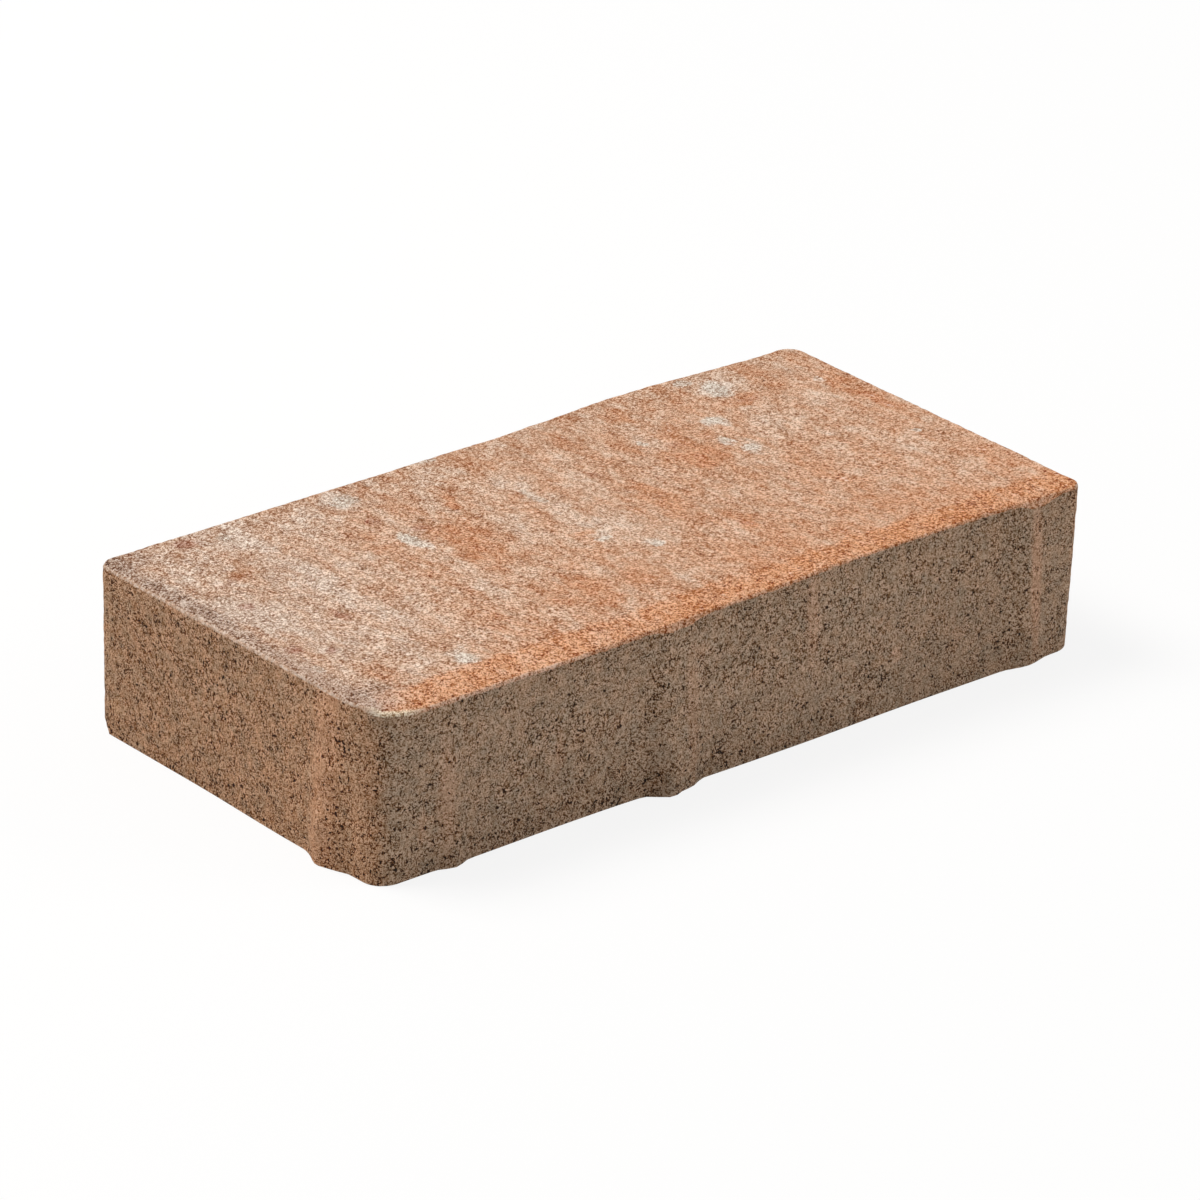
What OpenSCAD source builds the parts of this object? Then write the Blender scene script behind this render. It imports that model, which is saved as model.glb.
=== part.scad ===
// Rectangular concrete paving stone: one vibro-pressed block with rounded upright corners,
// a fine arris bevel round its top face and upright spacer ribs on its four sides.
// Millimetres, +Z up. The origin is the middle of the bedding face, +X runs along the length,
// and the front is the -Y side.

/* [Stone] */
// Length of the block between its two end faces
stone_length = 200; // [140:1:400]
// Width of the block between its two long sides
stone_width = 100; // [70:1:300]
// Height from the bedding face to the top face
stone_height = 40; // [30:1:120]
// Radius of the four upright corners
corner_radius = 5; // [2:0.5:8]
// Width of the bevel round the top face
arris_bevel = 0.8; // [0.3:0.1:1.5]

/* [Middle spacer rib] */
// Distance from the middle of the long side to the rib, towards the left end
mid_rib_offset = 19; // [0:1:25]
// Width of the rib at the bedding face
mid_rib_width = 18; // [10:1:24]
// How far the rib stands out at the bedding face
mid_rib_depth = 3; // [1.5:0.1:4.5]

/* [Corner spacer ribs] */
// Distance from the left end face to the left rib of the front side
left_rib_inset = 19; // [15:1:24]
// Distance from the right end face to the right rib of the front side
right_rib_inset = 16; // [15:1:24]
// Width of these ribs at the bedding face
corner_rib_width = 13; // [8:1:14]
// How far these ribs stand out at the bedding face
corner_rib_depth = 1.6; // [0.8:0.1:3]

/* [End spacer rib] */
// Distance from the front side to the rib of the left end face
end_rib_inset = 15; // [14:1:30]
// Width of the rib at the bedding face
end_rib_width = 16; // [8:1:18]
// How far the rib stands out at the bedding face
end_rib_depth = 2; // [1:0.1:3]

/* [Rib shape] */
// Share of its depth that a rib keeps at its upper end
rib_top_share = 0.5; // [0.3:0.05:0.9]
// Distance from the top face down to the upper end of a rib
rib_drop = 1.5; // [1.5:0.1:8]
// Height of the slope at the upper end of a rib
rib_slope = 1.5; // [0.5:0.1:5]

/* [Hidden] */
$fn = 64;

half_length = stone_length / 2;
half_width = stone_width / 2;
// How deep a rib is rooted in the block behind its side
rib_root = 2;
// Margin by which a rib's cutting slab passes its outer face
slab_margin = 1;
concrete_colour = [0.66, 0.49, 0.38];

// Radius of the round flank whose chord is the rib's width and whose rise is its depth
function flank_radius(width, depth) = (width * width / 4 + depth * depth) / (2 * depth);

// Upright section of the block: half its span across, bevelled at the top edges
module block_section(half_span) {
    polygon([
        [-half_span, 0],
        [half_span, 0],
        [half_span, stone_height - arris_bevel],
        [half_span - arris_bevel, stone_height],
        [arris_bevel - half_span, stone_height],
        [-half_span, stone_height - arris_bevel]
    ]);
}

// Round upright corner of the block, with the same bevel at its top
module corner_post() {
    rotate_extrude()
        polygon([
            [0, 0],
            [corner_radius, 0],
            [corner_radius, stone_height - arris_bevel],
            [corner_radius - arris_bevel, stone_height],
            [0, stone_height]
        ]);
}

// The block without its ribs
module block() {
    core_length = stone_length - 2 * corner_radius;
    core_width = stone_width - 2 * corner_radius;
    rotate([90, 0, 0])
        linear_extrude(core_width, center = true)
            block_section(half_length);
    rotate([90, 0, 90])
        linear_extrude(core_length, center = true)
            block_section(half_width);
    for (x = [-1, 1], y = [-1, 1])
        translate([x * core_length / 2, y * core_width / 2, 0])
            corner_post();
}

// One spacer rib on a side that faces -Y, with the side's face at y = 0.
// Its flanks are part of a cone, so that it is widest and deepest at the bedding face.
module rib(width, depth) {
    low_radius = flank_radius(width, depth);
    axis_inset = low_radius - depth;
    high_radius = axis_inset + depth * rib_top_share;
    rib_height = stone_height - rib_drop;
    intersection() {
        translate([0, axis_inset, 0])
            rotate_extrude($fn = 128)
                polygon([
                    [0, 0],
                    [low_radius, 0],
                    [high_radius, rib_height - rib_slope],
                    [axis_inset, rib_height],
                    [0, rib_height]
                ]);
        translate([-width / 2, -depth - slab_margin, 0])
            cube([width, depth + slab_margin + rib_root, rib_height]);
    }
}

// The ribs of the front side and of the left end face
module half_the_ribs() {
    translate([left_rib_inset - half_length, -half_width, 0])
        rib(corner_rib_width, corner_rib_depth);
    translate([-mid_rib_offset, -half_width, 0])
        rib(mid_rib_width, mid_rib_depth);
    translate([half_length - right_rib_inset, -half_width, 0])
        rib(corner_rib_width, corner_rib_depth);
    translate([-half_length, end_rib_inset - half_width, 0])
        rotate([0, 0, -90])
            rib(end_rib_width, end_rib_depth);
}

// The whole stone: turned half round, it has the same ribs again on its other two sides
module paving_stone() {
    color(concrete_colour)
        union() {
            block();
            for (turn = [0, 180])
                rotate([0, 0, turn])
                    half_the_ribs();
        }
}

paving_stone();
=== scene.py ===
import math

import bmesh
import bpy
from mathutils import Matrix, Vector


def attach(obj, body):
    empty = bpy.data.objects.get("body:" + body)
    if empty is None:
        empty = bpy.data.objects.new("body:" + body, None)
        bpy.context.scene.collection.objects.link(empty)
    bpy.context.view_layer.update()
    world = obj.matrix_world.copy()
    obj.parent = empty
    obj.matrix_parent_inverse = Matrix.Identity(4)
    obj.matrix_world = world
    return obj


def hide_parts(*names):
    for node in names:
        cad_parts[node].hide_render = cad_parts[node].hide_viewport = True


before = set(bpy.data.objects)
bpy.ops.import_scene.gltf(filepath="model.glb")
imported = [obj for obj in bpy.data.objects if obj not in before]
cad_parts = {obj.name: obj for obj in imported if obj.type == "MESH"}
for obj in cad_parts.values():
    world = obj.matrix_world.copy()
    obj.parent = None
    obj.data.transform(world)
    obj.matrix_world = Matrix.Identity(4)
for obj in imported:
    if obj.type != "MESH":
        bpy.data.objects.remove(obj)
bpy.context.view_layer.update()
mm = 0.001


# helpers for modelling
def deselectAll():
    bpy.ops.object.select_all(action="DESELECT")


def pick(piece, kind, test):
    # edit mode: selects the verts, edges or faces that pass the test, and nothing else
    bpy.ops.mesh.select_mode(type={"verts": "VERT", "edges": "EDGE", "faces": "FACE"}[kind])
    bpy.ops.mesh.select_all(action="DESELECT")
    cage = bmesh.from_edit_mesh(piece.data)
    for part in getattr(cage, kind):
        if test(part):
            part.select_set(True)
    cage.select_flush_mode()
    bmesh.update_edit_mesh(piece.data)


def softMove(move, reach):
    # moves the selected points, and those within reach of them less and less, in mm
    bpy.ops.transform.translate(value=[step * mm for step in move], use_proportional_edit=True,
                                proportional_edit_falloff="SMOOTH", proportional_size=reach * mm)


def middle(edge):
    return (edge.verts[0].co + edge.verts[1].co) / 2


def runsAlong(edge, axis):
    # true for an edge that keeps to the axis, but for rounding
    run = edge.verts[1].co - edge.verts[0].co
    return abs(run[axis]) > 0.99 * run.length


def applyModifier(piece, kind, **values):
    modifier = piece.modifiers.new(kind.lower(), kind)
    for name, value in values.items():
        setattr(modifier, name, value)
    bpy.context.view_layer.objects.active = piece
    bpy.ops.object.modifier_apply(modifier=modifier.name)


def assignGroup(piece, name, kind, test):
    # a vertex group of what passes the test
    bpy.ops.object.mode_set(mode="EDIT")
    pick(piece, kind, test)
    piece.vertex_groups.active = piece.vertex_groups.new(name=name)
    bpy.context.scene.tool_settings.vertex_group_weight = 1
    bpy.ops.object.vertex_group_assign()
    bpy.ops.object.mode_set(mode="OBJECT")


# the stone's body
stone = {
    "length": 200 * mm,
    "width": 100 * mm,
    "height": 40 * mm,
    "corners": {              # radius in mm at the top and at the bottom, by side along x and y
        (-1, -1): (12, 5), (1, -1): (3, 6.5), (-1, 1): (4, 4), (1, 1): (4.5, 5),
    },
    "arrisBevel": 0.8 * mm,
    "arrisRows": 2,
    "gridStep": 1.4 * mm,     # rows and columns while the ribs are pulled out, halved afterwards
    "rim": 1.2 * mm,          # the rim of the top lies within this depth, also where it sags
    "skin": 1 * mm,           # points this close to a side or to the underside lie on it
    "level": 0.9,             # z of a normal from which a face counts as level
    "sharpAngle": 50,
}


def addBlock():
    deselectAll()
    size = Vector((stone["length"], stone["width"], stone["height"]))
    bpy.ops.mesh.primitive_cube_add(size=1, location=(0, 0, size.z / 2))
    block = bpy.context.active_object
    block.name = "pavingStone"
    bpy.ops.object.mode_set(mode="EDIT")
    bpy.ops.transform.resize(value=size)
    bpy.ops.object.mode_set(mode="OBJECT")
    bpy.ops.object.transform_apply(location=True, rotation=True, scale=True)
    bpy.ops.object.mode_set(mode="EDIT")
    for axis in range(3):
        pick(block, "edges", lambda edge: runsAlong(edge, axis))
        bpy.ops.mesh.subdivide(number_cuts=round(size[axis] / stone["gridStep"]) - 1)
    # the flat underside is one face
    pick(block, "faces", lambda face: face.normal.z < -stone["level"])
    bpy.ops.mesh.dissolve_faces()
    bpy.ops.object.mode_set(mode="OBJECT")
    print("stage: block", len(block.data.vertices), "points")
    return block


# what is pulled out of the sides or pushed into them, in mm
ribs = {
    # ribs and swells of the front side and left end; turned half round, they are also on the other two
    # place along the side, half width of the strip, soft reach, depth, and name of its heights
    "front": [(-80.5, 0.8, 5, 1.5, "rib"), (-23, 0.8, 5.5, 1.6, "rib"), (-19, 2.2, 6.5, 2.3, "rib"),
              (84.5, 1.6, 7.5, 1.4, "rib"), (-44, 4, 32, -0.4, "swell"), (8, 6, 42, 0.7, "swell")],
    "leftEnd": [(-34.5, 1.6, 5, 1.4, "lowRib"), (-31, 1.6, 5.5, 1.3, "lowRib"), (-22, 4, 34, 0.6, "swell")],
    # not repeated on the front
    "back": [(52, 4, 36, 2, "bow")],
    # top of each strip, and its share of the depth
    "heights": {
        "rib": [(37, 0.28), (24, 0.3), (10, 0.42)],
        "lowRib": [(34, 0.35), (23, 0.25), (10, 0.4)],
        "swell": [(6, 1)],
        "bow": [(41, 1)],
    },
    # hollow in the front rim: middle, half length, reach and depth
    "rimHollow": (50, 24, 16, 0.85),
    # the front rim sinks to the left of each of these places: reach and depth of a step
    "rimSag": ((-44, -28, -14, 0), 7, 0.25),
    # bottom corner at the back left: place, half size, reach and move
    "chip": ((-100, 50), 2, 2.6, (1.3, -1.3, 0)),
}


axisX = 0
axisY = 1


def pullRib(block, along, outward, place, half, reach, depth, heights):
    # pulls a strip of one side outwards with a soft falloff, in steps, so that it is deepest at the bottom
    across = axisY if along == axisX else axisX
    wall = (stone["width"] if along == axisX else stone["length"]) / 2
    for top, share in ribs["heights"][heights]:
        pick(block, "verts", lambda vert: vert.co[across] * outward > wall - stone["skin"]
             and abs(vert.co[along] - place * mm) < half * mm
             and vert.co.z < top * mm)
        move = [0, 0, 0]
        move[across] = outward * share * depth
        softMove(move, reach)


def onFrontRim(vert):
    return vert.co.z > stone["height"] - stone["rim"] and vert.co.y < stone["skin"] - stone["width"] / 2


def bendFrontRim(block):
    place, half, reach, depth = ribs["rimHollow"]
    pick(block, "verts", lambda vert: onFrontRim(vert) and abs(vert.co.x - place * mm) < half * mm)
    softMove((0, depth, 0), reach)
    places, reach, depth = ribs["rimSag"]
    for place in places:
        pick(block, "verts", lambda vert: onFrontRim(vert) and vert.co.x < place * mm)
        softMove((0, 0, -depth), reach)


def chipCorner(block):
    (cornerX, cornerY), half, reach, move = ribs["chip"]
    pick(block, "verts", lambda vert: vert.co.z < stone["skin"]
         and abs(vert.co.x - cornerX * mm) < half * mm
         and abs(vert.co.y - cornerY * mm) < half * mm)
    softMove(move, reach)


def shapeSides(block):
    bpy.ops.object.mode_set(mode="EDIT")
    for turn in (1, -1):
        for place, *shape in ribs["front"]:
            pullRib(block, axisX, -turn, turn * place, *shape)
        for place, *shape in ribs["leftEnd"]:
            pullRib(block, axisY, -turn, turn * place, *shape)
    for place, *shape in ribs["back"]:
        pullRib(block, axisX, 1, place, *shape)
    bendFrontRim(block)
    chipCorner(block)
    bpy.ops.object.mode_set(mode="OBJECT")
    print("stage: ribs pulled")


def refineBlock(block):
    # bevels the arris and halves the grid
    bpy.ops.object.mode_set(mode="EDIT")
    rim = stone["height"] - stone["rim"]
    pick(block, "edges", lambda edge: middle(edge).z > rim
         and len({face.normal.z > stone["level"] for face in edge.link_faces}) == 2)
    bpy.ops.mesh.bevel(offset=stone["arrisBevel"], segments=stone["arrisRows"], profile=0.5, affect="EDGES")
    bpy.ops.mesh.select_all(action="SELECT")
    bpy.ops.mesh.subdivide(number_cuts=1)
    bpy.ops.object.mode_set(mode="OBJECT")
    print("stage: refined", len(block.data.vertices), "points")


def roundCorners(block):
    # upright corners: the points of each corner square move onto rings round its middle
    for vert in block.data.vertices:
        sideX = math.copysign(1, vert.co.x)
        sideY = math.copysign(1, vert.co.y)
        upper, lower = stone["corners"][sideX, sideY]
        radius = (lower + (upper - lower) * vert.co.z / stone["height"]) * mm
        overX = abs(vert.co.x) - stone["length"] / 2 + radius
        overY = abs(vert.co.y) - stone["width"] / 2 + radius
        if overX > 0 and overY > 0:
            inward = max(overX, overY) / math.hypot(overX, overY) - 1
            vert.co.x += sideX * overX * inward
            vert.co.y += sideY * overY * inward
    print("stage: corners rounded")


# relief of the pressed concrete
relief = {
    "steep": 0.6,             # z of a normal that parts the sides from the top
    "foot": 0.1 * mm,         # points lower than this stay where they are
    "arrisDepth": 2 * mm,
    "arrisLean": 0.97,        # z of a normal from which the top is no longer arris
    "detail": 2,
    "layers": [               # name, the faces that have it, grain size and height in mm
        ("sideSwell", "sides", 26, 0.18),
        ("sideLumps", "sides", 3.2, 0.2),
        ("sideGrain", "sides", 1.5, 0.3),
        ("topSwell", "topFace", 22, 0.3),
        ("topGrain", "topFace", 1.6, 0.26),
        ("arrisCrumbs", "arris", 1.8, 0.16),
    ],
}


def roughenBlock(block):
    steep = relief["steep"]
    arrisFoot = stone["height"] - relief["arrisDepth"]
    assignGroup(block, "sides", "verts", lambda vert: abs(vert.normal.z) < steep
                and vert.co.z > relief["foot"])
    assignGroup(block, "topFace", "verts", lambda vert: vert.normal.z > steep)
    assignGroup(block, "arris", "verts", lambda vert: vert.co.z > arrisFoot
                and vert.normal.z < relief["arrisLean"])
    for name, group, grain, rise in relief["layers"]:
        texture = bpy.data.textures.new(name, "CLOUDS")
        texture.noise_scale = grain * mm
        texture.noise_depth = relief["detail"]
        applyModifier(block, "DISPLACE", texture=texture, texture_coords="LOCAL", direction="NORMAL",
                      vertex_group=group, mid_level=0.5, strength=rise * mm)
    bpy.ops.object.shade_smooth_by_angle(angle=math.radians(stone["sharpAngle"]))
    print("stage: relief on", len(block.data.polygons), "faces")


block = addBlock()
shapeSides(block)
refineBlock(block)
roundCorners(block)
roughenBlock(block)


# helpers for materials; all places and sizes in them are in mm
def addNode(tree, kind, **settings):
    node = tree.nodes.new("ShaderNode" + kind)
    for name, value in settings.items():
        setattr(node, name, value)
    return node


def feed(tree, socket, value):
    if isinstance(value, bpy.types.NodeSocket):
        tree.links.new(value, socket)
    else:
        socket.default_value = value


def calc(tree, operation, *values, clamp=False):
    node = addNode(tree, "Math", operation=operation, use_clamp=clamp)
    for socket, value in zip(node.inputs, values):
        feed(tree, socket, value)
    return node.outputs[0]


def calcVector(tree, operation, *values, out=0):
    node = addNode(tree, "VectorMath", operation=operation)
    for socket, value in zip(node.inputs, values):
        feed(tree, socket, value)
    return node.outputs[out]


def split(tree, vector):
    node = addNode(tree, "SeparateXYZ")
    feed(tree, node.inputs[0], vector)
    return node.outputs


def join(tree, x, y, z):
    node = addNode(tree, "CombineXYZ")
    for socket, value in zip(node.inputs, (x, y, z)):
        feed(tree, socket, value)
    return node.outputs[0]


def fade(tree, value, start, end, low=0.0, high=1.0):
    # soft step from low to high while value goes from start to end
    node = addNode(tree, "MapRange", interpolation_type="SMOOTHSTEP")
    for socket, number in zip(node.inputs, (value, start, end, low, high)):
        feed(tree, socket, number)
    return node.outputs[0]


def slope(tree, x, y, gains, base):
    # base, changed evenly along x and y
    return calc(tree, "MULTIPLY_ADD", y, gains[1], calc(tree, "MULTIPLY_ADD", x, gains[0], base))


def addUp(tree, values, gains):
    # sum of the values times their gains, each value counted from its middle at 0.5
    total = -sum(gains) / 2
    for value, gain in zip(values, gains):
        total = calc(tree, "MULTIPLY_ADD", value, gain, total)
    return total


def textureSpot(tree, place, size, seed):
    # place counted in features of that size, one number or three, and moved so that no two seeds look alike
    grain = [size] * 3 if isinstance(size, (int, float)) else size
    shift = (7.1 * seed, 3.7 * seed, 5.3 * seed)
    return calcVector(tree, "MULTIPLY_ADD", place, [1 / g for g in grain], shift)


def noiseNode(tree, place, size, seed, detail, rough):
    node = addNode(tree, "TexNoise")
    feed(tree, node.inputs["Vector"], textureSpot(tree, place, size, seed))
    node.inputs["Scale"].default_value = 1
    node.inputs["Detail"].default_value = detail
    node.inputs["Roughness"].default_value = rough
    return node


def noise(tree, place, size, seed, detail=2.0, rough=0.5):
    return noiseNode(tree, place, size, seed, detail, rough).outputs[0]


def wander(tree, place, size, reach, seed, detail=2.5, rough=0.65):
    # the same place, moved aside by a soft noise, so that edges drawn with it are irregular
    aside = noiseNode(tree, place, size, seed, detail, rough).outputs["Color"]
    offset = calcVector(tree, "MULTIPLY_ADD", aside, [2 * r for r in reach], [-r for r in reach])
    return calcVector(tree, "ADD", place, offset)


def cells(tree, place, size, seed):
    # cells of that size: distance from the middle, and two random values for each
    node = addNode(tree, "TexVoronoi")
    feed(tree, node.inputs["Vector"], textureSpot(tree, place, size, seed))
    node.inputs["Scale"].default_value = 1
    parts = addNode(tree, "SeparateColor")
    feed(tree, parts.inputs[0], node.outputs["Color"])
    return node.outputs["Distance"], parts.outputs[1], parts.outputs[2]


patchEdge = (1.45, 0.4)       # a patch grows from nothing to its strength between these shares of its size


def patchSum(tree, place, patches):
    # sum of soft patches, each with its middle, half widths and strength
    total = None
    for x, y, halfX, halfY, strength in patches:
        local = calcVector(tree, "MULTIPLY_ADD", place, (1 / halfX, 1 / halfY, 0),
                           (-x / halfX, -y / halfY, 0))
        far = calcVector(tree, "LENGTH", local, out=1)
        mask = fade(tree, far, *patchEdge, 0, strength)
        total = mask if total is None else calc(tree, "ADD", total, mask)
    return total


def mixColour(tree, share, first, second):
    node = addNode(tree, "Mix", data_type="RGBA")
    feed(tree, node.inputs[0], share)
    feed(tree, node.inputs[6], first)
    feed(tree, node.inputs[7], second)
    return node.outputs[2]


def ramp(tree, value, stops):
    node = addNode(tree, "ValToRGB")
    points = node.color_ramp.elements
    while len(points) < len(stops):
        points.new(1)
    for point, (at, colour) in zip(points, stops):
        point.position = at
        point.color = colour
    feed(tree, node.inputs[0], value)
    return node.outputs[0]


def srgb(red, green, blue):
    # a colour as it is read off a picture, 0 to 255, as the linear colour that a socket takes
    return [c / 12.92 if c <= 0.04045 else ((c + 0.055) / 1.055) ** 2.4
            for c in (red / 255, green / 255, blue / 255)] + [1]


seenGamma = 2.2
darkest = (0.14, 0.11, 0.08)  # no tone goes below this, as it is seen


def power(tree, colour, exponent):
    node = addNode(tree, "Gamma")
    feed(tree, node.inputs[0], colour)
    node.inputs[1].default_value = exponent
    return node.outputs[0]


def toned(tree, colour, tone, shares):
    # lightens or darkens red, green and blue by steps as they are seen
    step = calcVector(tree, "SCALE", shares)
    feed(tree, step.node.inputs["Scale"], tone)
    shifted = calcVector(tree, "ADD", power(tree, colour, 1 / seenGamma), step)
    return power(tree, calcVector(tree, "MAXIMUM", shifted, darkest), seenGamma)


# in the three mixes below:
# a fade has its start and end and, unless it goes from 0 to 1, the values there
# a warp has the size, reach and seed of its wander
# a tone is a step lighter or darker, where 1 would be from black to white

# face mix on the top
faceMix = {
    "whitish": srgb(222, 201, 185),
    "flake": srgb(216, 205, 193),
    "cream": srgb(212, 179, 155),
    "peach": srgb(205, 163, 134),
    "orange": srgb(201, 147, 111),
    "deepOrange": srgb(195, 127, 87),
    "rust": srgb(160, 100, 74),
    "greyEdge": srgb(178, 156, 141),
    "bandPale": srgb(207, 156, 122),
    "bandDeep": srgb(205, 141, 95),
    # the lip: wear, and a painted highlight where the front left corner catches the light
    "lip": srgb(238, 219, 190),
    "orangePatches": [
        (-28, 8, 7, 14, 0.5), (-18.5, 29, 2, 6, 0.75), (-30, 43, 2.5, 8, 0.3), (-27, -27, 8, 8, 0.4),
        (-11, -28, 4, 5, 0.3), (19, 0, 3.5, 12, 0.5), (22, 38, 3, 10, 0.3), (31, 28, 3, 8, 0.3),
        (41, 15, 8, 8, 0.55), (45, 28, 7, 5, 0.4), (41.5, 41, 2.5, 7, 0.5), (26, -20, 2, 5, 0.5),
        (58, 0, 2, 18, 0.3), (95, 24, 3, 22, 0.5), (70, 32, 4, 2, 0.5), (-80, 26, 5, 3, 0.5),
        (-47, 20, 3, 20, 0.25), (-75, -3, 2.5, 8, 0.25), (-85, -32, 3, 6, 0.3), (-3, 42, 4, 9, 0.25),
        (-5, -3, 3, 2, 0.5), (82, 40, 4, 8, 0.2), (22, -34, 18, 9, 0.25),
    ],
    "palePatches": [
        (-80, 10, 24, 60, 0.5), (-50, 36, 8, 12, 0.3), (-91, 8, 4, 14, 0.5), (-67, 12, 4, 12, 0.5),
        (-68, 38, 4, 10, 0.4), (-86, -8, 3, 20, 0.2), (-67, -37, 3.5, 4, 0.8), (-93, -33, 5, 6, 0.3),
        (-38.5, 44, 4.5, 5, 1.1), (-38.5, 16, 2.5, 5, 1.1), (-39, -8, 3, 14, 0.3), (-2, 12, 3, 20, 0.5),
        (5, -8, 6, 12, 0.35), (3, -16, 2, 2.5, 0.7), (-4, -7, 2.5, 2.5, 0.5), (-14, 12, 5, 12, 0.25),
        (57, 27, 3, 3, 1.1), (54, 11, 3, 4, 0.9), (51, 18, 2, 3, 0.5), (69, 40, 4, 5, 1.1),
        (75, 6, 4, 3, 0.35), (84, -12, 4, 5, 0.3), (84, -26, 6, 5, 0.25), (-3, -34, 4, 4, 0.35),
        (34, 28, 2, 3, 0.4), (86, 20, 3, 8, 0.45), (68, 18, 4, 8, 0.25), (-14, 41, 6, 5, 0.35),
        (73, 44, 8, 6, 0.35),
    ],
    "rustPatches": [
        (71, 31.5, 3, 1.2, 0.5), (-79, 45.5, 3, 2.2, 0.8), (-87.5, -17.5, 1.5, 1.5, 0.8),
        (-93.5, -12.5, 2.2, 1.6, 1), (-33.5, 21, 2.2, 1.4, 0.6), (15.5, 20, 1.5, 2, 0.5),
        (72, -43, 1.2, 1.2, 0.8), (-80, 25, 3, 1.5, 0.15), (41, 22, 2, 1.5, 0.4), (-40, 31, 0.6, 0.6, 1.6),
        (-39, 30, 1.5, 2, 0.4), (26, -20, 1.2, 2.5, 0.4), (-88.5, 11, 2, 2, 0.7), (-75, -4.5, 1.6, 3.2, 0.7),
        (-84, 23, 4, 2, 0.25), (-96, -44.5, 4, 3, 0.3),
    ],
    "flakes": [
        (-38, 42.5, 3.8, 3.4, 1), (-38.5, 17, 2.2, 4.5, 1), (-70, 43, 2.4, 3, 0.6), (-9.5, 49, 3, 1.6, 0.8),
        (56.5, 27, 3.4, 2.6, 0.9), (51.5, 16.5, 1.6, 3.4, 0.9), (54, 10.5, 2.4, 2.4, 0.9),
        (69, 40.5, 3.2, 5.4, 0.95), (-4.3, -7.8, 2, 1.6, 1), (3.2, -17, 1.8, 2, 1),
        (89.8, -4.5, 1.3, 1.3, 1.1), (-66.8, -37.8, 2.8, 3.2, 0.8), (-95.2, -23, 1.6, 2.6, 0.8),
        (-96, 7, 0.8, 0.8, 1), (-2.7, 19, 1.6, 5, 0.7), (35.7, 27, 0.9, 2.2, 0.9), (65, 48, 3, 2, 0.8),
        (92, 31, 1.2, 2, 0.6),
    ],
    "greyPatches": [(-95, 46, 7, 5, 0.5), (-93, -40, 6, 6, 0.6), (-97, 20, 2, 16, 0.3)],
    "patchWarps": [(9, (5, 7, 0), 11), (2.4, (1.6, 2, 0), 17)],
    "nearWarp": (3, (2, 2, 0), 20),
    "broad": {"size": (7, 16, 9), "seed": 4, "detail": 3, "rough": 0.6},
    "streaks": {"size": (2.4, 4.2, 4), "seed": 21, "detail": 1.5, "rough": 0.6},
    "cloud": {"size": (3.5, 5.5, 4), "seed": 12, "detail": 3, "rough": 0.8},
    "hueGains": (1.4, 1.7),             # of broad and streaks
    "hueSlope": (0.0015, -0.004),       # for each mm of x and y
    "hueScale": (0.37, 0.48),           # gain and middle on the ramp
    "hueStops": [(0.08, "whitish"), (0.34, "cream"), (0.5, "peach"), (0.7, "orange"), (0.95, "deepOrange")],
    "bandWarp": (9, (0, 3, 0), 23),
    "bandStart": (-39.5, -42),          # fade by y
    "bandGains": (2.4, 1.2),            # of streaks and broad
    "bandDepth": (-25, 25, 0.6, 0.7),   # fade by x
    "bandShare": 0.85,
    "flakeGains": (1.6, 0.9),           # of streaks and grit
    "flakeFade": (0.2, 1, 0, 0.75),
    "rustShare": 0.75,
    "greyStart": (-93, -97.5, 0, 0.8),  # fade by x
    "greyShare": 0.8,
    "toneGains": (0.42, 0.97, 0.72, 0.06),   # of cloud, fine grit, coarse grit and grains
    "edgeGrain": 0.3,
    "leftGrain": (0, -60, 1, 1.15),     # fade by x
    "darkStart": (10, -50, 0.86, 0.8),  # by x, the random value where the fade of dark grains starts
    "darkGrains": (0.97, -0.012, -0.16),     # the rest of that fade
    "toneSlope": (0.00022, -0.00051),   # for each mm of x and y
    "backTone": (34, 48, -0.014, -0.036),    # fade by y
    "leftTone": (-52, -78, 0, -0.035),  # fade by x
    "bandTone": (-75, 15, 0.06, -0.022),     # fade by x
    "toneLimit": (0.16, 0.15),          # lightest tone, and how softly it is reached
    "toneShares": (0.9, 1.05, 1.13),    # of red, green and blue
}


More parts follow.
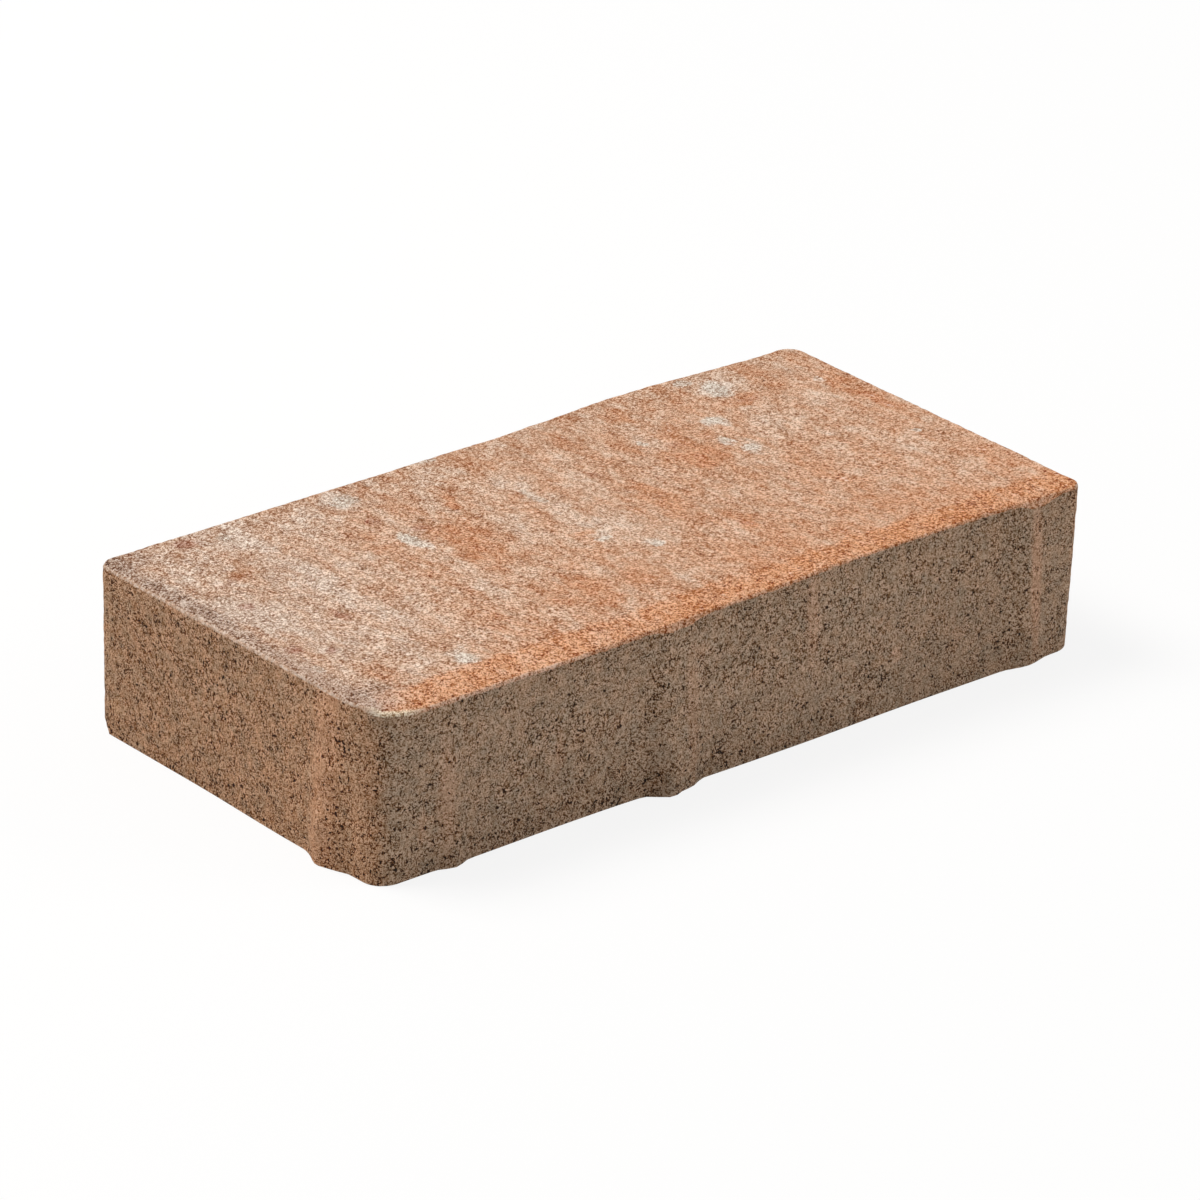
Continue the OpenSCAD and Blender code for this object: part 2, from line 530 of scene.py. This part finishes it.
def faceColour(tree, place, grit, grain):
    # colour of the top, and its tone
    mix = faceMix
    x, y = split(tree, place)[:2]
    warped = place
    for warp in mix["patchWarps"]:
        warped = wander(tree, warped, *warp)
    nearby = wander(tree, place, *mix["nearWarp"])
    hue = calc(tree, "SUBTRACT", patchSum(tree, warped, mix["orangePatches"]),
               patchSum(tree, warped, mix["palePatches"]))
    # streaks run across the stone, and it is warmer towards the front and right
    broad = noise(tree, place, **mix["broad"])
    streaks = noise(tree, place, **mix["streaks"])
    hue = calc(tree, "ADD", hue, addUp(tree, (broad, streaks), mix["hueGains"]))
    hue = slope(tree, x, y, mix["hueSlope"], hue)
    hue = calc(tree, "MULTIPLY_ADD", hue, *mix["hueScale"], clamp=True)
    colour = ramp(tree, hue, [(at, mix[name]) for at, name in mix["hueStops"]])
    # a band of stronger colour along the front edge
    ragged = split(tree, wander(tree, nearby, *mix["bandWarp"]))[1]
    band = fade(tree, ragged, *mix["bandStart"])
    bandTint = addUp(tree, (streaks, broad), mix["bandGains"])
    bandTint = calc(tree, "ADD", bandTint, fade(tree, x, *mix["bandDepth"]), clamp=True)
    bandColour = mixColour(tree, bandTint, mix["bandPale"], mix["bandDeep"])
    colour = mixColour(tree, calc(tree, "MULTIPLY", band, mix["bandShare"]), colour, bandColour)
    flakes = calc(tree, "ADD", patchSum(tree, nearby, mix["flakes"]),
                  addUp(tree, (streaks, grit[1]), mix["flakeGains"]))
    colour = mixColour(tree, fade(tree, flakes, *mix["flakeFade"]), colour, mix["flake"])
    rust = patchSum(tree, nearby, mix["rustPatches"])
    rust = calc(tree, "MULTIPLY", rust, mix["rustShare"], clamp=True)
    colour = mixColour(tree, rust, colour, mix["rust"])
    # greyer along the left end
    edge = fade(tree, split(tree, nearby)[0], *mix["greyStart"])
    edge = calc(tree, "ADD", edge, patchSum(tree, nearby, mix["greyPatches"]), clamp=True)
    colour = mixColour(tree, calc(tree, "MULTIPLY", edge, mix["greyShare"]), colour, mix["greyEdge"])
    # the grain is stronger along these two edges and towards the left, with more dark grains there
    cloud = noise(tree, place, **mix["cloud"])
    tone = addUp(tree, (cloud, grit[0], grit[1], grain[0]), mix["toneGains"])
    strong = calc(tree, "MULTIPLY_ADD", calc(tree, "MAXIMUM", edge, band), mix["edgeGrain"],
                  fade(tree, x, *mix["leftGrain"]))
    dark = fade(tree, grain[1], fade(tree, x, *mix["darkStart"]), *mix["darkGrains"])
    tone = calc(tree, "MULTIPLY_ADD", tone, strong, dark)
    # a little darker towards the back and left, but the band is lightest on the left
    tone = slope(tree, x, y, mix["toneSlope"], tone)
    tone = calc(tree, "ADD", tone, fade(tree, y, *mix["backTone"]))
    tone = calc(tree, "ADD", tone, fade(tree, x, *mix["leftTone"]))
    tone = calc(tree, "MULTIPLY_ADD", band, fade(tree, x, *mix["bandTone"]), tone)
    return colour, calc(tree, "SMOOTH_MIN", tone, *mix["toneLimit"])


# body mix on the sides and underside; patches lie by place along the side and height
bodyMix = {
    "olive": srgb(169, 144, 120),
    "rose": srgb(194, 159, 130),
    "rubbedAndLit": srgb(203, 161, 131),
    "pebble": srgb(188, 156, 126),
    "endTint": (1.06, 0.915, 0.8),
    # rubbed stripes and smooth spots; the stripes on the rib flanks facing the light are also painted
    # highlights
    "longRubsAndHighlights": [
        (-82, 17, 2.2, 13, 0.8), (-15, 18, 2, 15, 0.6), (20, 29, 2, 11, 0.9), (86, 21, 1.8, 19, 1.3),
        (-51, 17, 1.2, 5, 0.5), (40, 23, 1.6, 1.6, 0.8), (44.7, 13.3, 1.8, 1.8, 0.9), (-12, 31, 2, 2, 0.5),
        (-88.5, 11, 1.2, 4, 0.6), (63, 13, 2, 2, 0.4), (-35, 20, 2.5, 2, 0.4), (4, 22, 2, 2.5, 0.4),
    ],
    "endRubsAndHighlights": [(-32.6, 20, 4.6, 50, 0.7), (-44, 12, 2.8, 24, 0.2), (35, 26, 2, 3, 0.3)],
    "endPebbles": [(43, 7.6, 2.1, 1.9, 1.2)],
    "longPits": [
        (-60, 6, 4, 2.5, 1), (-9, 7, 3, 2, 1), (-5, 4, 3, 2, 0.8), (23, 5, 4, 3, 1), (41, 7, 3, 2, 0.8),
        (78, 8, 4, 3, 1), (-37, 3, 4, 2, 1), (-84, 11, 5, 3, 0.7), (60, 9, 5, 2.5, 0.6),
    ],
    # pits; the tall stripe at -38 is also painted shade on the shaded flank of the end rib
    "endPitsAndShade": [(-38, 22, 2.6, 20, 1.3), (44, 3, 5, 4, 1)],
    "onEnd": (95.5, 99.3),              # fade by x, from the long sides to the ends
    "longWarp": (4, (1, 4, 0), 13),
    "endWarp": (4, (0.5, 1.5, 0), 14),
    "tintNoises": [{"size": 9, "seed": 5}, {"size": 2.6, "seed": 22, "detail": 1}],
    "tintGains": (1.2, 2.0),
    "tintMiddle": 0.5,
    "rubAndHighlightShare": 0.8,
    "cluster": {"size": 3.2, "seed": 6, "detail": 3, "rough": 0.6},
    "gritty": (0.62, 0.36, 0.6, 1.25),  # fade by cluster
    "rubAndHighlightCalm": -0.3,
    "poreNoise": {"size": 0.62, "seed": 8, "rough": 0.55},
    "poreGains": (0.16, 0.05),          # of cluster and rubs with their painted highlights
    "pores": (0.54, 0.42),
    "pitNoise": {"size": 1.0, "seed": 9, "detail": 1},
    "pitGains": (0.25, -0.055),         # of cluster and patches
    "pitHeight": (3, 14, -0.012, 0.012),     # fade by height
    "pits": (0.47, 0.4, 0, 1.6),
    "pebbleCalm": (0, 1, 1, 0.2),       # fade by pebble
    "gritGains": (1.36, 0.72),
    # painted shade in pores and pits
    "paintedHollowShade": -0.34,
    "streak": {"size": (1.4, 1.4, 16), "seed": 19},
    "fineGains": (0.08, 0.03, 0.1),     # of cluster, grains and streak
    "toneLimit": (0.13, 0.12),
    "endContrast": (0, 1, 1, 1.1),      # fade from the long sides to the ends
    # painted shade under the arris
    "shadeUnderArris": (32, 37, 0, -0.02),   # fade by height
    "farTone": (30, 85, 0, -0.016),     # fade by place along the side
    "bottomTone": (8, 1, 0.008, -0.012),     # fade by height
    "toneShares": (0.97, 1, 1.05),
}


def turnedPlace(tree, along, across):
    # place along the front or the left end; on the opposite side it runs the other way
    return calc(tree, "MULTIPLY", along, calc(tree, "MULTIPLY", calc(tree, "SIGN", across), -1))


def bodyColour(tree, place, grit, grain):
    # colour of the sides, and where their pores are
    mix = bodyMix
    x, y, z = split(tree, place)
    longPlace = turnedPlace(tree, x, y)
    endPlace = turnedPlace(tree, y, x)
    onEnd = fade(tree, calc(tree, "ABSOLUTE", x), *mix["onEnd"])
    onLong = calc(tree, "SUBTRACT", 1, onEnd)
    longSpot = wander(tree, join(tree, longPlace, z, 0), *mix["longWarp"])
    endSpot = wander(tree, join(tree, endPlace, z, 0), *mix["endWarp"])

    def sidePatches(ends, longs):
        onLongs = calc(tree, "MULTIPLY", patchSum(tree, longSpot, mix[longs]), onLong)
        return calc(tree, "MULTIPLY_ADD", patchSum(tree, endSpot, mix[ends]), onEnd, onLongs)

    tints = [noise(tree, place, **values) for values in mix["tintNoises"]]
    tint = calc(tree, "ADD", addUp(tree, tints, mix["tintGains"]), mix["tintMiddle"], clamp=True)
    colour = mixColour(tree, tint, mix["olive"], mix["rose"])
    # smoother, warmer stripes where the mould rubbed, which on the rib flanks facing the light are also a
    # painted highlight, and a pebble on each end
    rubAndHighlight = sidePatches("endRubsAndHighlights", "longRubsAndHighlights")
    rubAndHighlightShare = calc(tree, "MULTIPLY", rubAndHighlight, mix["rubAndHighlightShare"], clamp=True)
    colour = mixColour(tree, rubAndHighlightShare, colour, mix["rubbedAndLit"])
    pebble = calc(tree, "MULTIPLY", patchSum(tree, endSpot, mix["endPebbles"]), onEnd, clamp=True)
    colour = mixColour(tree, pebble, colour, mix["pebble"])
    colour = mixColour(tree, onEnd, colour, calcVector(tree, "MULTIPLY", colour, mix["endTint"]))
    # gritty parts lie between smoother patches and stripes; pores and pits are darkest, as painted shade in
    # these hollows
    cluster = noise(tree, place, **mix["cluster"])
    gritty = calc(tree, "MULTIPLY_ADD", rubAndHighlight, mix["rubAndHighlightCalm"], fade(tree, cluster, *mix["gritty"]))
    poreLevel = calc(tree, "MULTIPLY_ADD", cluster, mix["poreGains"][0],
                     noise(tree, place, **mix["poreNoise"]))
    pores = fade(tree, calc(tree, "MULTIPLY_ADD", rubAndHighlight, mix["poreGains"][1], poreLevel), *mix["pores"])
    pitLevel = calc(tree, "MULTIPLY_ADD", cluster, mix["pitGains"][0],
                    noise(tree, place, **mix["pitNoise"]))
    pitLevel = calc(tree, "ADD", pitLevel, fade(tree, z, *mix["pitHeight"]))
    pitLevel = calc(tree, "MULTIPLY_ADD", sidePatches("endPitsAndShade", "longPits"), mix["pitGains"][1], pitLevel)
    pits = fade(tree, pitLevel, *mix["pits"])
    shadedHollow = calc(tree, "MULTIPLY", calc(tree, "MAXIMUM", pores, pits),
                  fade(tree, pebble, *mix["pebbleCalm"]))
    tone = calc(tree, "MULTIPLY", addUp(tree, grit, mix["gritGains"]), gritty)
    tone = calc(tree, "MULTIPLY_ADD", shadedHollow, mix["paintedHollowShade"], tone)
    streak = noise(tree, place, **mix["streak"])
    tone = calc(tree, "ADD", tone, addUp(tree, (cluster, grain[0], streak), mix["fineGains"]))
    tone = calc(tree, "SMOOTH_MIN", tone, *mix["toneLimit"])
    tone = calc(tree, "MULTIPLY", tone, fade(tree, onEnd, *mix["endContrast"]))
    # the long sides are a little darker under the arris, as painted shade, and at their far end, all sides
    # at the bottom
    tone = calc(tree, "MULTIPLY_ADD", fade(tree, z, *mix["shadeUnderArris"]), onLong, tone)
    tone = calc(tree, "MULTIPLY_ADD", fade(tree, longPlace, *mix["farTone"]), onLong, tone)
    tone = calc(tree, "ADD", tone, fade(tree, z, *mix["bottomTone"]))
    return toned(tree, colour, tone, mix["toneShares"]), fade(tree, poreLevel, *mix["pores"])


# both mixes together, with the arris between them
concrete = {
    "grit": [{"size": 0.3, "seed": 1, "detail": 0.5}, {"size": 0.75, "seed": 18, "detail": 1}],
    "grains": (0.6, 2),                 # size and seed
    "crumbs": {"size": 1.3, "seed": 16},
    "onEnd": (96.5, 99),                # fade by x, from the long sides to the ends
    # the pale arris: wear, with a painted highlight on the bevel
    "paleMix": (0.4, 0.6),              # fade by crumbs, from cream to whitish
    "wornAndLitEnds": (0, 1, 0.1, 0.8),       # fade from the long sides to the ends
    "wornAndLitFront": (-30, -55, 0, 0.35),   # fade by x
    "frontOnly": (0, -1),               # fade by y
    "arrisLean": (0.95, 0.8),           # fade by z of the normal
    "arrisCalm": (0, 1, 1, 0.4),        # fade by wear and painted highlight
    "lipRing": (11.5, 12.4),            # fade by distance from the middle of the front left corner
    "lipRagged": 1.4,
    "lipPatches": [(-95, -48, 6, 4, 0.8)],
    "faceFoot": (-46, 6, 38.15, 39.1),  # by x, the height where the face mix ends
    "faceFootOnEnds": (0, 1, 0, 39.2),  # fade from the long sides to the ends
    "faceDrops": [(-18, -51, 6, 3, 1.0), (87, -51, 5, 3, 1.2), (45, -51, 24, 3, -0.35)],
    "footRagged": 0.7,
    "footCalm": (0, 1, 1, 0.3),         # fade from the long sides to the ends
    "footEdge": (-0.12, 0.15),          # fade by height over that end
    "reliefGains": (0.25, 0.35, -0.1),  # of fine grit, coarse grit and grains
    "poreDepth": (38.4, 39.2, -0.25, 0),     # fade by height
    "bump": (0, 1, 0.7, 0.3),           # fade from the sides to the top
    "roughness": (0, 1, 0.8, 0.95),     # fade by grain
    "specular": 0.25,
}


def concreteMaterial():
    mix = concrete
    material = bpy.data.materials.new("colouredConcrete")
    material.use_nodes = True
    tree = material.node_tree
    shader = tree.nodes["Principled BSDF"]
    spot = addNode(tree, "TexCoord")
    place = calcVector(tree, "MULTIPLY", spot.outputs["Object"], [1 / mm] * 3)
    x, y, z = split(tree, place)
    lean = split(tree, spot.outputs["Normal"])[2]
    grit = [noise(tree, place, **values) for values in mix["grit"]]
    speck, *grain = cells(tree, place, *mix["grains"])
    face, faceTone = faceColour(tree, place, grit, grain)
    body, pores = bodyColour(tree, place, grit, grain)
    # the arris is worn paler on the ends and the left part of the front, and its bevel is painted paler
    # still as a highlight where it catches the light
    crumbs = noise(tree, place, **mix["crumbs"])
    onEnd = fade(tree, calc(tree, "ABSOLUTE", x), *mix["onEnd"])
    paleWearAndHighlight = mixColour(tree, fade(tree, crumbs, *mix["paleMix"]), faceMix["cream"], faceMix["whitish"])
    wornAndLitFront = calc(tree, "MULTIPLY", fade(tree, x, *mix["wornAndLitFront"]), fade(tree, y, *mix["frontOnly"]))
    wearAndHighlight = calc(tree, "MAXIMUM", fade(tree, onEnd, *mix["wornAndLitEnds"]), wornAndLitFront)
    arris = calc(tree, "MULTIPLY", fade(tree, lean, *mix["arrisLean"]), wearAndHighlight)
    face = mixColour(tree, arris, face, paleWearAndHighlight)
    # palest is a lip round the front left corner, worn and with a painted highlight where it catches the
    # light
    radius = stone["corners"][-1, -1][0]
    toCorner = (stone["length"] / 2 / mm - radius, stone["width"] / 2 / mm - radius, 0)
    fromCorner = calcVector(tree, "MULTIPLY_ADD", place, (1, 1, 0), toCorner)
    ragged = calc(tree, "MULTIPLY_ADD", crumbs, mix["lipRagged"],
                  calcVector(tree, "LENGTH", fromCorner, out=1))
    lip = calc(tree, "MULTIPLY", fade(tree, ragged, *mix["lipRing"]),
               patchSum(tree, place, mix["lipPatches"]))
    face = mixColour(tree, lip, face, faceMix["lip"])
    faceTone = calc(tree, "MULTIPLY", faceTone, fade(tree, arris, *mix["arrisCalm"]))
    face = toned(tree, face, faceTone, faceMix["toneShares"])
    # the face mix ends a little below the arris, lower on the left of the long sides and over two ribs
    foot = calc(tree, "SUBTRACT", fade(tree, x, *mix["faceFoot"]), patchSum(tree, place, mix["faceDrops"]))
    foot = calc(tree, "MAXIMUM", foot, fade(tree, onEnd, *mix["faceFootOnEnds"]))
    foot = calc(tree, "MULTIPLY_ADD", addUp(tree, [crumbs], [mix["footRagged"]]),
                fade(tree, onEnd, *mix["footCalm"]), foot)
    onTop = fade(tree, calc(tree, "SUBTRACT", z, foot), *mix["footEdge"])
    feed(tree, shader.inputs["Base Color"], mixColour(tree, onTop, body, face))
    # fine relief
    height = addUp(tree, (*grit, speck), mix["reliefGains"])
    sunk = calc(tree, "MULTIPLY", pores, fade(tree, z, *mix["poreDepth"]))
    bump = addNode(tree, "Bump")
    bump.inputs["Distance"].default_value = mm
    feed(tree, bump.inputs["Strength"], fade(tree, onTop, *mix["bump"]))
    feed(tree, bump.inputs["Height"], calc(tree, "ADD", height, sunk))
    feed(tree, shader.inputs["Normal"], bump.outputs[0])
    feed(tree, shader.inputs["Roughness"], fade(tree, grain[0], *mix["roughness"]))
    shader.inputs["Specular IOR Level"].default_value = mix["specular"]
    print("stage: material with", len(tree.nodes), "nodes")
    return material


block.data.materials.clear()
block.data.materials.append(concreteMaterial())
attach(block, "root")
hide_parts("paving_stone")


# studio: camera, floor and light
studio = {
    "lens": 228.1,
    "sensor": 36,
    "clipEnd": 50,
    "azimuth": -39.997,
    "elevation": 24.713,
    "roll": 1.038,
    "distance": 1692.84 * mm,
    "aside": 1.345 * mm,
    "above": 19.052 * mm,
    "floorSize": 8,
    "floorGap": 0.1 * mm,
    "floorTone": 0.6,         # what the floor gives back to the stone
    "floorGlow": 0.85,        # share of plain white that the camera sees on the floor
    "skyLight": 0.33,
    "lamps": [                # name, place, size, watts, colour
        ("overhead", (-0.62, 0.85, 1.75), 1.0, 31, (1, 0.96, 0.91)),
        ("frontFill", (1.3, -1.2, 0.7), 1.0, 7, (0.95, 0.97, 1)),
    ],
}


def addCamera():
    azimuth = math.radians(studio["azimuth"])
    elevation = math.radians(studio["elevation"])
    roll = math.radians(studio["roll"])
    level = math.cos(elevation)
    back = Vector((math.sin(azimuth) * level, -math.cos(azimuth) * level, math.sin(elevation)))
    right = Vector((math.cos(azimuth), math.sin(azimuth), 0))
    up = back.cross(right)
    turnedRight = right * math.cos(roll) + up * math.sin(roll)
    turnedUp = up * math.cos(roll) - right * math.sin(roll)
    place = back * studio["distance"] + turnedRight * studio["aside"] + turnedUp * studio["above"]
    camera = bpy.data.objects.new("camera", bpy.data.cameras.new("camera"))
    bpy.context.scene.collection.objects.link(camera)
    camera.data.lens = studio["lens"]
    camera.data.sensor_width = studio["sensor"]
    camera.data.clip_end = studio["clipEnd"]
    camera.matrix_world = Matrix((
        (turnedRight.x, turnedUp.x, back.x, place.x),
        (turnedRight.y, turnedUp.y, back.y, place.y),
        (turnedRight.z, turnedUp.z, back.z, place.z),
        (0, 0, 0, 1)))
    bpy.context.scene.camera = camera


def seenDirectly(tree):
    # 1 for what the camera sees, also in gloss or through glass
    path = addNode(tree, "LightPath")
    seen = calc(tree, "MAXIMUM", path.outputs["Is Camera Ray"], path.outputs["Is Glossy Ray"])
    return calc(tree, "MAXIMUM", seen, path.outputs["Is Transmission Ray"])


def addFloor():
    deselectAll()
    bpy.ops.mesh.primitive_plane_add(size=studio["floorSize"], location=(0, 0, -studio["floorGap"]))
    floor = bpy.context.active_object
    floor.name = "floor"
    material = bpy.data.materials.new("paleFloor")
    material.use_nodes = True
    tree = material.node_tree
    shader = tree.nodes["Principled BSDF"]
    seen = seenDirectly(tree)
    feed(tree, shader.inputs["Base Color"], fade(tree, seen, 0, 1, studio["floorTone"], 1))
    shader.inputs["Roughness"].default_value = 1
    glow = addNode(tree, "Emission")
    mix = addNode(tree, "MixShader")
    feed(tree, mix.inputs[0], calc(tree, "MULTIPLY", seen, studio["floorGlow"]))
    feed(tree, mix.inputs[1], shader.outputs[0])
    feed(tree, mix.inputs[2], glow.outputs[0])
    feed(tree, tree.nodes["Material Output"].inputs["Surface"], mix.outputs[0])
    floor.data.materials.append(material)


def addLight():
    world = bpy.data.worlds.new("studio")
    bpy.context.scene.world = world
    world.use_nodes = True
    tree = world.node_tree
    sky = tree.nodes["Background"]
    sky.inputs["Color"].default_value = (1, 1, 1, 1)
    feed(tree, sky.inputs["Strength"], fade(tree, seenDirectly(tree), 0, 1, studio["skyLight"], 1))
    for name, place, size, watts, colour in studio["lamps"]:
        lamp = bpy.data.objects.new(name, bpy.data.lights.new(name, "AREA"))
        lamp.data.size = size
        lamp.data.energy = watts
        lamp.data.color = colour
        lamp.location = place
        lamp.rotation_euler = Vector(place).to_track_quat("Z", "Y").to_euler()
        bpy.context.scene.collection.objects.link(lamp)


addCamera()
addFloor()
addLight()
bpy.context.scene.view_settings.view_transform = "Standard"
print("stage: studio")
